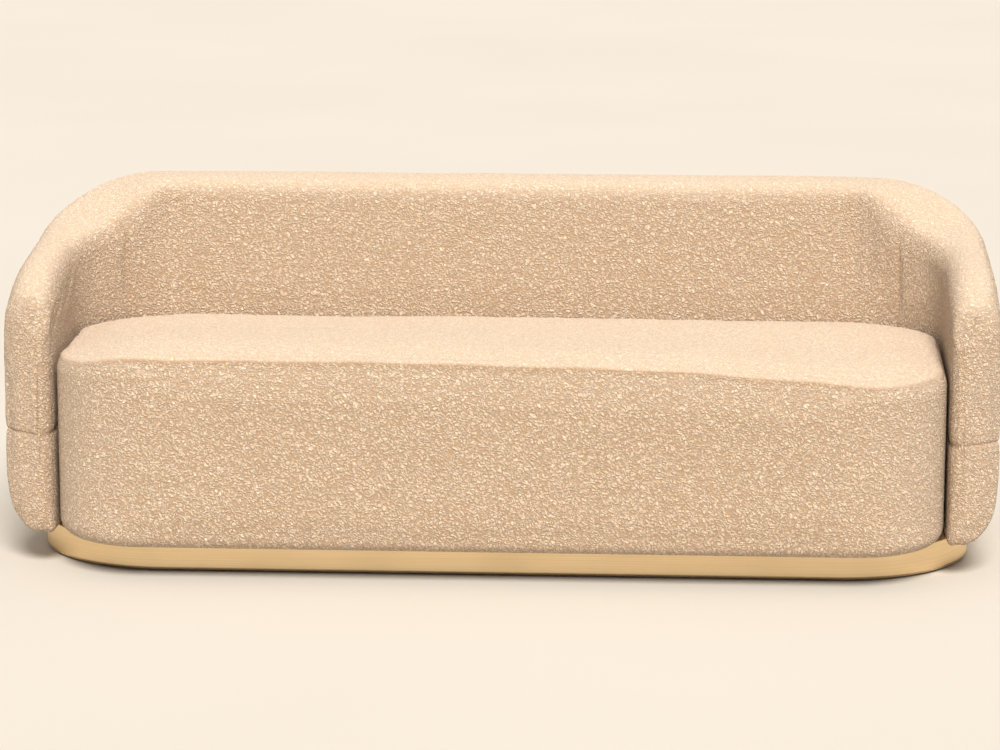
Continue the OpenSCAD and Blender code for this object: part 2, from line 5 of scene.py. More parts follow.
import bpy
import numpy as np
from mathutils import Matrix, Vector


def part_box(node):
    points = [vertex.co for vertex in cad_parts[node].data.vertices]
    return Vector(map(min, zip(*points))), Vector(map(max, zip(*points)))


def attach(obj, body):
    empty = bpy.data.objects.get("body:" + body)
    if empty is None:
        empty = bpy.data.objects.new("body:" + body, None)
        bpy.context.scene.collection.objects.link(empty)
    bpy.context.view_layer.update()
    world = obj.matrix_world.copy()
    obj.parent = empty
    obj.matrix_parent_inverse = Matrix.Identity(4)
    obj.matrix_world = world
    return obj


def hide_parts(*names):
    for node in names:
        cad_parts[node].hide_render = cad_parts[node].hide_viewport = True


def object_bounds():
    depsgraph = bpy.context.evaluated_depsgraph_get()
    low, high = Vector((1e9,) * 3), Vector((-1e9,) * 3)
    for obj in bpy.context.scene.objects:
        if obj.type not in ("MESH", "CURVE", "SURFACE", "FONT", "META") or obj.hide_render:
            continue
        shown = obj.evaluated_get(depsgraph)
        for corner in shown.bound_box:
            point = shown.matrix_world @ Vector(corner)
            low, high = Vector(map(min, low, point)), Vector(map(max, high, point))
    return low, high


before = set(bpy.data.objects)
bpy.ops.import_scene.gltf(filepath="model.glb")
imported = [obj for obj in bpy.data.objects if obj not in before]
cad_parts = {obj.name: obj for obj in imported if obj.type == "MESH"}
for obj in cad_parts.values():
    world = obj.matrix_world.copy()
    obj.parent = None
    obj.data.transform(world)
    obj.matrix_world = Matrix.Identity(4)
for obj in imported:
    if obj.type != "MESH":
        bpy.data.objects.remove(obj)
cad_low, cad_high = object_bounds()
scene = bpy.context.scene

# ---- places read off the frame ----

lower_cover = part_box("shell_lower_cover")
border_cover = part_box("seat_border_cover")
band_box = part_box("plinth_band")

HALF_W = lower_cover[1].x                   # half the width over the arms
Y_ARM = lower_cover[0].y                    # fronts of the arms
Y_BACK = lower_cover[1].y                   # back of the shell
BASE_Z = lower_cover[0].z                   # underside of the upholstery
TOP_Z = cad_high.z                          # top of the back
SEAT_X = border_cover[1].x                  # half the width of the seat
Y_SEAT = border_cover[0].y                  # front of the seat
Y_SEAT_BACK = border_cover[1].y             # rear of the seat
BELT_Z = lower_cover[1].z                   # seam between the shell's lower and upper cover
SEAT_SEAM_Z = border_cover[1].z             # seam between the seat's border and its top panel
SEAT_TOP_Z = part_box("seat_top_cover")[1].z

# ---- sizes of the upholstery that the boxes don't give ----

ARM_T = 0.100                               # thickness of the arms
BACK_T = 0.243                              # thickness of the back at the height of the seat
BACK_RAKE = 0.052                           # how much thinner the back is along its top
KNEE_Z = 0.444                              # the back's inside face leans back above this
ARM_REAR_Z = 0.660
ARM_FRONT_Z = 0.598
ARM_DROP = 0.110
ARM_RUN = 0.220
SHELL_R = 0.298                             # outside corners, from above
INNER_R = 0.220                             # inside corners, from above
TOP_R = 0.050
HEM_W = 0.076
HEM_H = 0.098
FOOT_DROP = 0.046
NOSE_OUT = 0.073                            # rounding of an arm's front, outside and inside
NOSE_IN = 0.024
NOSE_LONG = 0.060
NOSE_SHORT = 0.026

CORNER_SEAM = 6.0                           # the seam between arm and back, degrees round the corner
SEAM_SHARE = 6                              # one in so many of a corner's stations lies before that seam
BOARD_Q0 = 0.060                            # the base boards' place under the shell
BOARD_Q1 = 0.010
BOARD_SHOWS = 0.003                         # the cloth's underside stays this far above the boards' faces

SEAT_FRONT_R = 0.190
SEAT_REAR_R = 0.216
SEAT_EDGE_R = 0.036
SEAT_FOOT_R = 0.034
SEAT_CROWN = 0.010

outer_c = np.array([HALF_W - SHELL_R, Y_BACK - SHELL_R])
inner_c = np.array([HALF_W - ARM_T - INNER_R, Y_BACK - BACK_T - INNER_R])
arm_l = outer_c[1] - Y_ARM


# ---- helpers for surfaces ----

def smooth(t):
    """An S-curve from 0 to 1, flat at both ends: 3t^2 - 2t^3 with t held between 0 and 1."""
    t = np.clip(t, 0.0, 1.0)
    return t * t * (3.0 - 2.0 * t)


def fall(t):
    """How far a quarter circle has still to rise at t: 1 at t = 0, 0 from t = 1 on."""
    t = np.clip(t, 0.0, 1.0)
    return 1.0 - np.sqrt(np.maximum(0.0, 1.0 - (1.0 - t) ** 2))


def opening(n):
    """n steps from 0 towards 1, close together at 0: the steps' share to the power 1.4."""
    return (np.arange(n) / n) ** 1.4


def closing(n):
    """n steps from 0 towards 1, close together at 1: the steps' remainder to the power 1.4, taken from 1."""
    return 1 - (1 - np.arange(n) / n) ** 1.4


def ridge(distance, width):
    """A bell of height 1 where distance is 0, about width wide: exp of minus the square of distance over width."""
    return np.exp(-(distance / width) ** 2)


def soft_noise(points, scale, seed, octaves=3):
    """A smooth random field at points: sums of sines along random directions whose wavelengths are near scale,
    halved in size and doubled in rate at each octave, and scaled to about -1 to 1."""
    r = np.random.default_rng(seed)
    total = np.zeros(len(points))
    for k in range(octaves):
        waves = 14
        d = r.normal(size=(waves, 3))
        d *= (r.uniform(0.7, 1.4, waves) / np.linalg.norm(d, axis=1))[:, None]
        total += np.sin(points @ d.T * (2 * math.pi * 2 ** k / scale)
                        + r.uniform(0, 2 * math.pi, waves)).sum(1) / math.sqrt(waves) / 2 ** k
    return total / 1.6


def make_mesh(name, verts, faces, smooth_faces=True):
    """A mesh object at the origin from an (n, 3) array of points and a list of face arrays."""
    mesh = bpy.data.meshes.new(name)
    mesh.from_pydata(verts.tolist(), [], faces)
    mesh.validate()
    mesh.update()
    obj = bpy.data.objects.new(name, mesh)
    scene.collection.objects.link(obj)
    if smooth_faces:
        mesh.polygons.foreach_set("use_smooth", np.ones(len(mesh.polygons), bool))
    return obj


def ring_faces(columns, rows, offset=0):
    """Quads of a grid of columns by rows whose rows close on themselves, as index arrays."""
    i = np.arange(columns - 1)[:, None]
    j = np.arange(rows)[None, :]
    k = (j + 1) % rows
    quads = np.stack([i * rows + j, i * rows + k, (i + 1) * rows + k, (i + 1) * rows + j], -1)
    return quads.reshape(-1, 4) + offset


def spline_matrix(fine, coarse, closed):
    """Weights that carry values from coarse evenly spaced stations to fine ones by a Catmull-Rom curve. An open row
    is mirrored at its ends, so that it arrives there level."""
    span = coarse if closed else coarse - 1
    t = np.asarray(fine) * span
    base = np.floor(t).astype(int)
    if not closed:
        base = np.minimum(base, coarse - 2)
    f = t - base
    w = np.stack([-0.5 * f + f ** 2 - 0.5 * f ** 3, 1 - 2.5 * f ** 2 + 1.5 * f ** 3,
                  0.5 * f + 2 * f ** 2 - 1.5 * f ** 3, -0.5 * f ** 2 + 0.5 * f ** 3], 1)
    out = np.zeros((len(t), coarse))
    rows = np.arange(len(t))
    for k in range(4):
        at = base + k - 1
        at = at % coarse if closed else np.minimum(np.abs(at), 2 * (coarse - 1) - at)
        np.add.at(out, (rows, at), w[:, k])
    return out


# ---- the shell of back and arms ----

def inside_x(y):
    """The inside face's distance from the middle: straight along the arm, then round the inner corner."""
    bend = inner_c[0] + np.sqrt(np.maximum(0.0, INNER_R ** 2 - np.maximum(0.0, y - inner_c[1]) ** 2))
    return np.where(y <= inner_c[1], HALF_W - ARM_T, bend)


def shell_path(n_nose, n_arm, n_corner, n_back):
    """Stations of the right half from the arm's front to the middle of the back. For each one: the points of the
    outside and the inside face from above, the turn round the corner in degrees, and the distance behind the front.
    The front is two quarter ellipses, wide outside and narrow inside; the corner follows rays from the centre of
    the outside arc."""
    phi = np.radians(np.linspace(1.5, 90.0, n_nose, endpoint=False))
    d_out, d_in = NOSE_LONG * (1 - np.cos(phi)), NOSE_SHORT * (1 - np.cos(phi))
    nose_o = np.stack([HALF_W - NOSE_OUT * (1 - np.sin(phi)), Y_ARM + d_out], 1)
    nose_i = np.stack([HALF_W - ARM_T + NOSE_IN * (1 - np.sin(phi)), Y_ARM + d_in], 1)
    slide = np.linspace(0, 1, n_arm, endpoint=False)
    y_o = Y_ARM + NOSE_LONG + (arm_l - NOSE_LONG) * slide
    y_i = Y_ARM + NOSE_SHORT + (arm_l - NOSE_SHORT) * slide
    arm_o = np.stack([np.full(n_arm, HALF_W), y_o], 1)
    arm_i = np.stack([inside_x(y_i), y_i], 1)
    near = n_corner // SEAM_SHARE
    after = CORNER_SEAM + (90 - CORNER_SEAM) * opening(n_corner - near)
    a = np.radians(np.concatenate([CORNER_SEAM * closing(near), after]))
    u = np.stack([np.cos(a), np.sin(a)], 1)
    corner_o = outer_c + SHELL_R * u
    v = outer_c - inner_c
    b = u @ v
    corner_i = outer_c + u * (np.sqrt(np.maximum(0, b * b - v @ v + INNER_R ** 2)) - b)[:, None]
    x_o = np.linspace(outer_c[0], 0, n_back)
    back_o = np.stack([x_o, np.full(n_back, Y_BACK)], 1)
    back_i = np.stack([x_o, np.full(n_back, Y_BACK - BACK_T)], 1)
    turn = np.concatenate([np.zeros(n_nose + n_arm), np.degrees(a), np.full(n_back, 90.0)])
    far = np.concatenate([d_out, NOSE_LONG + (arm_l - NOSE_LONG) * slide, np.full(n_corner + n_back, arm_l)])
    outside = np.concatenate([nose_o, arm_o, corner_o, back_o])
    inside = np.concatenate([nose_i, arm_i, corner_i, back_i])
    return outside, inside, turn, far


def shell_top(turn, far):
    """The height of the shell's crest: it rounds off at the arm's front, climbs gently along the arm and rises
    through the corner on an S-curve that sets off early."""
    arm = ARM_FRONT_Z + (ARM_REAR_Z - ARM_FRONT_Z) * np.minimum(1, far / arm_l) - ARM_DROP * fall(far / ARM_RUN)
    return np.where(turn > 0, ARM_REAR_Z + (TOP_Z - ARM_REAR_Z) * smooth(turn / 72.0) ** 0.7, arm)


def shell_section(thick, top, low, turn, count):
    """The closed outline of the shell at each station, as depth from the outside face and height: the hem's
    quarter ellipse, the outside face up to the belt seam and on to the top, two quarter rounds over the top, the
    leaning inside face, the hidden upright down to the belt seam's height and on down, a small round at its foot,
    and the underside. count gives the points of each stretch. Returns depth and height as stations by points, and
    where each stretch starts."""
    s = (len(thick), 1)
    t, zt, zb = thick.reshape(s), top.reshape(s), low.reshape(s)
    lean = BACK_RAKE * smooth(turn / 90.0).reshape(s)
    tt = t - lean
    hw = np.minimum(HEM_W, t * 0.72)
    hh = HEM_H * hw / HEM_W
    tr = np.minimum(TOP_R, tt / 2 - 0.0005)
    fr = np.minimum(0.015, t / 4)
    quarter = [np.linspace(0, math.pi / 2, n, endpoint=False)[None, :] for n in count]
    lin = [np.linspace(0, 1, n, endpoint=False)[None, :] for n in count]
    belt = np.clip(np.full(s, BELT_Z), zb + hh + 0.01, zt - tr - 0.01)
    knee = np.minimum(KNEE_Z, zt - tr - 0.02)
    belt_in = np.clip(np.full(s, BELT_Z), zb + fr + 0.01, knee - 0.01)
    up_to_belt, from_belt = closing(count[1])[None, :], opening(count[2])[None, :]
    down_to_belt, below_belt = closing(count[7])[None, :], opening(count[8])[None, :]
    parts = [
        (hw * (1 - np.sin(quarter[0])), zb + hh * (1 - np.cos(quarter[0]))),
        (0 * lin[1] + 0 * t, zb + hh + (belt - zb - hh) * up_to_belt),
        (0 * lin[2] + 0 * t, belt + (zt - tr - belt) * from_belt),
        (tr * (1 - np.cos(quarter[3])), zt - tr * (1 - np.sin(quarter[3]))),
        (tr + (tt - 2 * tr) * lin[4], zt + 0 * lin[4]),
        (tt - tr * (1 - np.sin(quarter[5])), zt - tr * (1 - np.cos(quarter[5]))),
        (tt + (t - tt) * lin[6], zt - tr + (knee - zt + tr) * lin[6]),
        (t + 0 * lin[7], knee + (belt_in - knee) * down_to_belt),
        (t + 0 * lin[8], belt_in + (zb + fr - belt_in) * below_belt),
        (t - fr * (1 - np.cos(quarter[9])), zb + fr * (1 - np.sin(quarter[9]))),
        (t - fr + (hw - t + fr) * lin[10], zb + 0 * lin[10]),
    ]
    depth, height = (np.concatenate([p[k] for p in parts], 1) for k in (0, 1))
    under = (depth > BOARD_Q0) & (depth < t - BOARD_Q1) & (height < zb + 0.012)
    height = height + np.where(under, BOARD_SHOWS, 0.0)
    starts = np.concatenate([[0], np.cumsum(count)])
    return depth, height, starts


def shell_grid(path_counts, section_counts):
    """Both halves of the shell as a grid of stations by section points, and where the section's stretches start."""
    outside, inside, turn, far = shell_path(*path_counts)
    thick = np.linalg.norm(outside - inside, axis=1)
    top = shell_top(turn, far)
    low = BASE_Z + FOOT_DROP * fall(far / FOOT_DROP)
    depth, height, starts = shell_section(thick, top, low, turn, section_counts)
    along = (inside - outside) / thick[:, None]
    xy = outside[:, None, :] + along[:, None, :] * depth[:, :, None]
    right = np.concatenate([xy, height[:, :, None]], 2)
    left = right[-2::-1].copy()
    left[:, :, 0] *= -1
    return np.concatenate([right, left]), starts


def fine_to_coarse(fine, coarse, closed):
    """Where each fine grid line falls among the coarse ones: stretch by stretch, in proportion to their counts. The
    last stretch of an open row ends on its last line."""
    starts = np.concatenate([[0], np.cumsum(coarse)])
    places = [starts[k] + np.arange(n) / n * coarse[k] for k, n in enumerate(fine)]
    if not closed:
        places[-1] = starts[-2] + np.arange(fine[-1]) / (fine[-1] - 1) * (coarse[-1] - 1)
    return np.concatenate(places)


def weights(places, coarse, closed):
    """Catmull-Rom weights for fractional places among coarse grid lines."""
    span = coarse if closed else coarse - 1
    return spline_matrix(places / span, coarse, closed)


def inflate(name, verts, faces, hold, pressure, cap, frames=20):
    """Lets a closed coarse skin swell as cloth under pressure, held by soft pins of weight hold, and returns how
    far each point moved, no further than cap. The helper object is removed again."""
    obj = make_mesh(name, verts, faces)
    group = obj.vertex_groups.new(name="hold")
    for level in np.unique(np.round(hold, 2)):
        group.add(np.nonzero(np.round(hold, 2) == level)[0].tolist(), float(level), "REPLACE")
    cloth = obj.modifiers.new("cloth", "CLOTH")
    st = cloth.settings
    st.quality = 5
    st.mass = 0.4
    st.tension_stiffness = 18
    st.compression_stiffness = 12
    st.shear_stiffness = 8
    st.bending_stiffness = 0.6
    st.use_pressure = True
    st.uniform_pressure_force = pressure
    st.vertex_group_mass = "hold"
    st.pin_stiffness = 2.0
    st.effector_weights.gravity = 0.0
    cloth.collision_settings.use_collision = False
    cloth.point_cache.frame_start = 1
    cloth.point_cache.frame_end = frames
    for f in range(1, frames + 1):
        scene.frame_set(f)
    depsgraph = bpy.context.evaluated_depsgraph_get()
    settled = obj.evaluated_get(depsgraph).data
    co = np.empty(len(verts) * 3, np.float32)
    settled.vertices.foreach_get("co", co)
    move = co.reshape(-1, 3).astype(float) - verts
    far = np.linalg.norm(move, axis=1, keepdims=True)
    move *= np.minimum(1.0, cap / np.maximum(far, 1e-9))
    bpy.data.objects.remove(obj, do_unlink=True)
    scene.frame_set(1)
    return move


def grid_normals(grid, closed_columns, closed_rows):
    """Outward unit normals of a grid of points: the cross product of the central differences along both ways."""
    def step(g, axis, closed):
        if closed:
            return np.roll(g, -1, axis) - np.roll(g, 1, axis)
        return np.gradient(g, axis=axis)
    n = np.cross(step(grid, 1, closed_rows), step(grid, 0, closed_columns))
    return n / np.maximum(np.linalg.norm(n, axis=2, keepdims=True), 1e-12)


def unique_mesh(grid, quads):
    """The points of a grid with those that coincide made one, the quads renumbered to them with collapsed corners
    dropped, and each grid point's new number."""
    flat = grid.reshape(-1, 3)
    _, first, number = np.unique(np.round(flat, 6), axis=0, return_index=True, return_inverse=True)
    number = number.reshape(-1)
    faces = []
    for quad in number[quads].tolist():
        corners = [v for k, v in enumerate(quad) if v != quad[k - 1]]
        if len(corners) > 2:
            faces.append(corners)
    return flat[first], faces, number


def signed_volume(verts, faces):
    """A sixth of the sum of the triple products of the faces' fans of triangles."""
    total = 0.0
    for size in {len(f) for f in faces}:
        ring = verts[np.array([f for f in faces if len(f) == size])]
        for k in range(1, size - 1):
            total += np.einsum("ij,ij->i", ring[:, 0], np.cross(ring[:, k], ring[:, k + 1])).sum() / 6
    return total


def outward(verts, faces):
    """The faces, all turned over if their signed volume is negative."""
    return faces if signed_volume(verts, faces) > 0 else [f[::-1] for f in faces]


FINE_PATH = (16, 62, 84, 116)
FINE_SECTION = (16, 20, 38, 12, 10, 12, 34, 14, 10, 4, 6)
COARSE_PATH = (5, 16, 18, 24)
COARSE_SECTION = (5, 7, 11, 4, 4, 4, 10, 5, 5, 2, 4)
SHELL_PRESSURE = 1.6
SHELL_SWELL = 0.006                         # no point swells further than this
TO_SEAM = COARSE_PATH[2] // SEAM_SHARE               # coarse stations from the corner's start to the upright seam


def shell_mesh(path, section):
    """The shell's grid with its faces: quads round each station, and a cap on each arm's narrow front edge."""
    grid, starts = shell_grid(path, section)
    columns, rows = grid.shape[:2]
    faces = ring_faces(columns, rows).tolist()
    faces += [list(range(rows))[::-1], [(columns - 1) * rows + j for j in range(rows)]]
    return grid, starts, outward(grid.reshape(-1, 3), faces)


def build_shell():
    """The padded shell as one closed skin. The cloth step swells it between its seams on a coarse grid, and the
    fine grid takes that movement over; seams are then pressed in, and the padding's unevenness is raised."""
    grid, starts, faces = shell_mesh(FINE_PATH, FINE_SECTION)
    columns, rows = grid.shape[:2]
    column = np.minimum(np.arange(columns), columns - 1 - np.arange(columns))[:, None]
    row = np.arange(rows)[None, :]
    # nothing swells where the seat stands against the inside face, or underneath
    free = np.where(row < starts[6], 1.0, np.clip((grid[:, :, 2] - SEAT_TOP_Z + 0.02) / 0.07, 0, 1))
    free = np.where((row >= starts[6]) & (grid[:, :, 1] < Y_ARM + 0.03), 0.4, free) * (row < starts[9])
    low, low_starts, low_faces = shell_mesh(COARSE_PATH, COARSE_SECTION)
    c, r = low.shape[:2]
    hold = np.full((c, r), 0.22)
    hold[:, low_starts[9]:] = 1.0
    hold[:, :2] = 1.0
    hold[:, low_starts[2]] = 0.45
    seam_at = COARSE_PATH[0] + COARSE_PATH[1] + TO_SEAM
    hold[[seam_at, c - 1 - seam_at], :] = 0.9
    hold[[0, c - 1], :] = 0.8
    move = inflate("shell_swelling", low.reshape(-1, 3), low_faces, hold.ravel(), SHELL_PRESSURE, SHELL_SWELL)
    move = move.reshape(c, r, 3)
    one_side = fine_to_coarse(FINE_PATH, COARSE_PATH, False)
    by_path = weights(np.concatenate([one_side, (c - 1) - one_side[-2::-1]]), c, False)
    by_section = weights(fine_to_coarse(FINE_SECTION, COARSE_SECTION, True), r, True)
    grid = grid + np.einsum("ai,ijk,bj->abk", by_path, move, by_section) * free[:, :, None]
    normal = -grid_normals(grid, False, True)
    # the belt seam runs round the outside and across the arms' fronts
    wave = 0.0012 * np.sin(grid[:, :, 0] * 31 + grid[:, :, 1] * 23)
    belt = np.where((row < starts[3]) | (column < FINE_PATH[0] + 8), np.abs(grid[:, :, 2] - BELT_Z + wave), 1.0)
    # the upright seam stands inside, where each arm runs into its corner
    outside, inside, _, _ = shell_path(*FINE_PATH)
    at = FINE_PATH[0] + FINE_PATH[1] + FINE_PATH[2] // SEAM_SHARE
    o, i = outside[at], inside[at]
    across = np.array([-(i - o)[1], (i - o)[0]]) / np.linalg.norm(i - o)
    upright = np.abs((np.stack([np.abs(grid[:, :, 0]), grid[:, :, 1]], 2) - o) @ across)
    inner = (row >= starts[5]) & (row < starts[9]) & (column > FINE_PATH[0] + FINE_PATH[1] // 2)
    upright = np.where(inner, upright, 1.0)
    fade = smooth((row - starts[5]) / 12)
    seam = np.maximum(ridge(belt, 0.0032), 0.6 * fade * ridge(upright, 0.0032))
    dip = 0.0030 * seam + 0.0018 * np.maximum(ridge(belt, 0.016), 0.6 * fade * ridge(upright, 0.018))
    flat = grid.reshape(-1, 3)
    swell = 0.0011 * soft_noise(flat, 0.34, 11, 2) + 0.00045 * soft_noise(flat, 0.026, 12, 2)
    grid = grid + normal * (swell.reshape(columns, rows) * free - dip)[:, :, None]
    obj = make_mesh("shell_upholstery", grid.reshape(-1, 3), faces)
    # the seam mask is stored for the material, which paints shade along the seam
    paint(obj, "seam", seam.ravel())
    return obj


def paint(obj, name, values):
    """Stores a number for each point of a mesh, for its material to read."""
    layer = obj.data.attributes.new(name, "FLOAT", "POINT")
    layer.data.foreach_set("value", np.asarray(values, np.float32))


# ---- the seat ----

SEAT_SPINE = SEAT_X - (Y_SEAT_BACK - Y_SEAT) / 2      # half the length of the line that the seat's top rises to
SEAT_Y_MID = (Y_SEAT_BACK + Y_SEAT) / 2
SEAT_EDGE_Z = SEAT_TOP_Z - SEAT_CROWN
SEAT_CROWN_RUN = 0.165
SEAT_MID_Z = 0.330                          # rows are close together above this height
FRONT_LIFT = 0.016                          # how much fuller the front is than the rear, most of all at the left
END_DROP = (0.018, 0.026)                   # how much the front corners sink, left and right
REAR_DROP = 0.004

SEAT_PRESSURE = 2.2
SEAT_SWELL = 0.009

SEAT_FINE = (150, 170)
SEAT_ROWS_FINE = (34, 16, 22, 34, 10, 6)
SEAT_COARSE = (36, 34)
SEAT_ROWS_COARSE = (9, 4, 5, 8, 3, 3)


def arc(centre, radius, start, end, n=40):
    """Points on a circle's arc from start to end degrees."""
    a = np.radians(np.linspace(start, end, n))
    return np.stack([centre[0] + radius * np.cos(a), centre[1] + radius * np.sin(a)], 1)


def along(line, n):
    """n points evenly spaced along a line of points, the last one left out."""
    reach = np.concatenate([[0], np.cumsum(np.linalg.norm(np.diff(line, axis=0), axis=1))])
    t = np.linspace(0, reach[-1], n, endpoint=False)
    return np.stack([np.interp(t, reach, line[:, 0]), np.interp(t, reach, line[:, 1])], 1)


def seat_plan(n_long, n_side):
    """The seat's outline from above as a closed run of points, anticlockwise from the front's left end: two straight
    runs and the two ends, each end being straight, corner, side, corner, straight. Returns the points, the outward
    directions, and the point of the middle line that each one looks at."""
    front_c = np.array([SEAT_X - SEAT_FRONT_R, Y_SEAT + SEAT_FRONT_R])
    rear_c = np.array([SEAT_X - SEAT_REAR_R, Y_SEAT_BACK - SEAT_REAR_R])
    right = np.concatenate([[[SEAT_SPINE, Y_SEAT]], arc(front_c, SEAT_FRONT_R, -90, 0, 90),
                            arc(rear_c, SEAT_REAR_R, 0, 90, 90), [[SEAT_SPINE, Y_SEAT_BACK]]])
    side = along(right, n_side)
    x = np.linspace(-SEAT_SPINE, SEAT_SPINE, n_long, endpoint=False)
    front = np.stack([x, np.full(n_long, Y_SEAT)], 1)
    rear = np.stack([-x, np.full(n_long, Y_SEAT_BACK)], 1)
    left = along(right[::-1] * [-1, 1], n_side)
    plan = np.concatenate([front, side, rear, left])
    mirrored = np.abs(plan[:, 0])
    centre = np.stack([mirrored, plan[:, 1]], 1)
    for c, r, sign in ((front_c, SEAT_FRONT_R, -1), (rear_c, SEAT_REAR_R, 1)):
        near = (plan[:, 1] - c[1]) * sign > 0
        centre[near] = np.stack([np.minimum(mirrored, c[0]), np.full(len(plan), c[1])], 1)[near]
    upright = (centre[:, 0] == mirrored) & (centre[:, 1] == plan[:, 1])
    centre[upright, 0] -= 0.1
    out = np.stack([mirrored, plan[:, 1]], 1) - centre
    out /= np.linalg.norm(out, axis=1, keepdims=True)
    out[:, 0] *= np.sign(plan[:, 0] + 1e-12)
    spine = np.stack([np.clip(plan[:, 0], -SEAT_SPINE, SEAT_SPINE), np.full(len(plan), SEAT_Y_MID)], 1)
    return plan, out, spine


def seat_grid(plan_counts, row_counts):
    """The seat's skin as a grid of plan points by rows, from the middle line of the top out over the crown, round
    the upper edge, down past the seam to the foot's round, and back to the middle underneath. The crown falls off
    as the square of the distance from where it is level."""
    plan, out, spine = seat_plan(*plan_counts)
    edge = plan - out * SEAT_EDGE_R
    foot = plan - out * SEAT_FOOT_R
    n = row_counts
    share = 1 - (1 - np.arange(n[0]) / n[0]) ** 1.25
    top = spine[:, None, :] + (edge - spine)[:, None, :] * share[None, :, None]
    from_edge = np.linalg.norm(edge[:, None, :] - top, axis=2)
    top_z = SEAT_EDGE_Z + SEAT_CROWN * (1 - (1 - np.minimum(1, from_edge / SEAT_CROWN_RUN)) ** 2)
    a = np.arange(n[1]) / n[1] * math.pi / 2
    bend = edge[:, None, :] + out[:, None, :] * (SEAT_EDGE_R * np.sin(a))[None, :, None]
    bend_z = SEAT_EDGE_Z - SEAT_EDGE_R * (1 - np.cos(a))
    face_z = np.concatenate([
        SEAT_EDGE_Z - SEAT_EDGE_R + (SEAT_MID_Z - SEAT_EDGE_Z + SEAT_EDGE_R) * opening(n[2]),
        SEAT_MID_Z + (BASE_Z + SEAT_FOOT_R - SEAT_MID_Z) * np.arange(n[3]) / n[3]])
    face = np.repeat(plan[:, None, :], len(face_z), 1)
    b = np.arange(n[4]) / n[4] * math.pi / 2
    low = foot[:, None, :] + out[:, None, :] * (SEAT_FOOT_R * np.cos(b))[None, :, None]
    low_z = BASE_Z + SEAT_FOOT_R * (1 - np.sin(b))
    c = np.linspace(0, 1, n[5])
    under = foot[:, None, :] + (spine - foot)[:, None, :] * c[None, :, None]
    under_z = BASE_Z + BOARD_SHOWS * smooth(c * 6)
    xy = np.concatenate([top, bend, face, low, under], 1)
    m = len(plan)
    z = np.concatenate([top_z] + [np.repeat(v[None, :], m, 0) for v in (bend_z, face_z, low_z, under_z)], 1)
    grid = np.concatenate([xy, z[:, :, None]], 2)
    starts = np.concatenate([[0], np.cumsum(n)])
    lift = seat_lift(grid[:, :, 0], grid[:, :, 1])
    grid[:, :, 2] += lift * smooth((grid[:, :, 2] - 0.14) / 0.28)
    return grid, starts, lift


def seat_lift(x, y):
    """How far the seat's upper part stands above or below its level shape: the front is fuller, less so towards the
    right, and both front corners sink; the rear lies a little lower. Each change is an S-curve."""
    front = FRONT_LIFT * (1 - smooth((x + 0.35) / 1.1))
    front = front - END_DROP[1] * smooth((x - 0.30) / 0.60) - END_DROP[0] * smooth((-x - 0.74) / 0.15)
    return front * (1 - smooth((y - Y_SEAT - 0.05) / 0.42)) - REAR_DROP * smooth((y + 0.05) / 0.2)


def seat_faces(columns, rows):
    """Quads of a grid whose columns close on themselves."""
    i = np.arange(columns)[:, None]
    k = (i + 1) % columns
    j = np.arange(rows - 1)[None, :]
    return np.stack([i * rows + j, k * rows + j, k * rows + j + 1, i * rows + j + 1], -1).reshape(-1, 4)


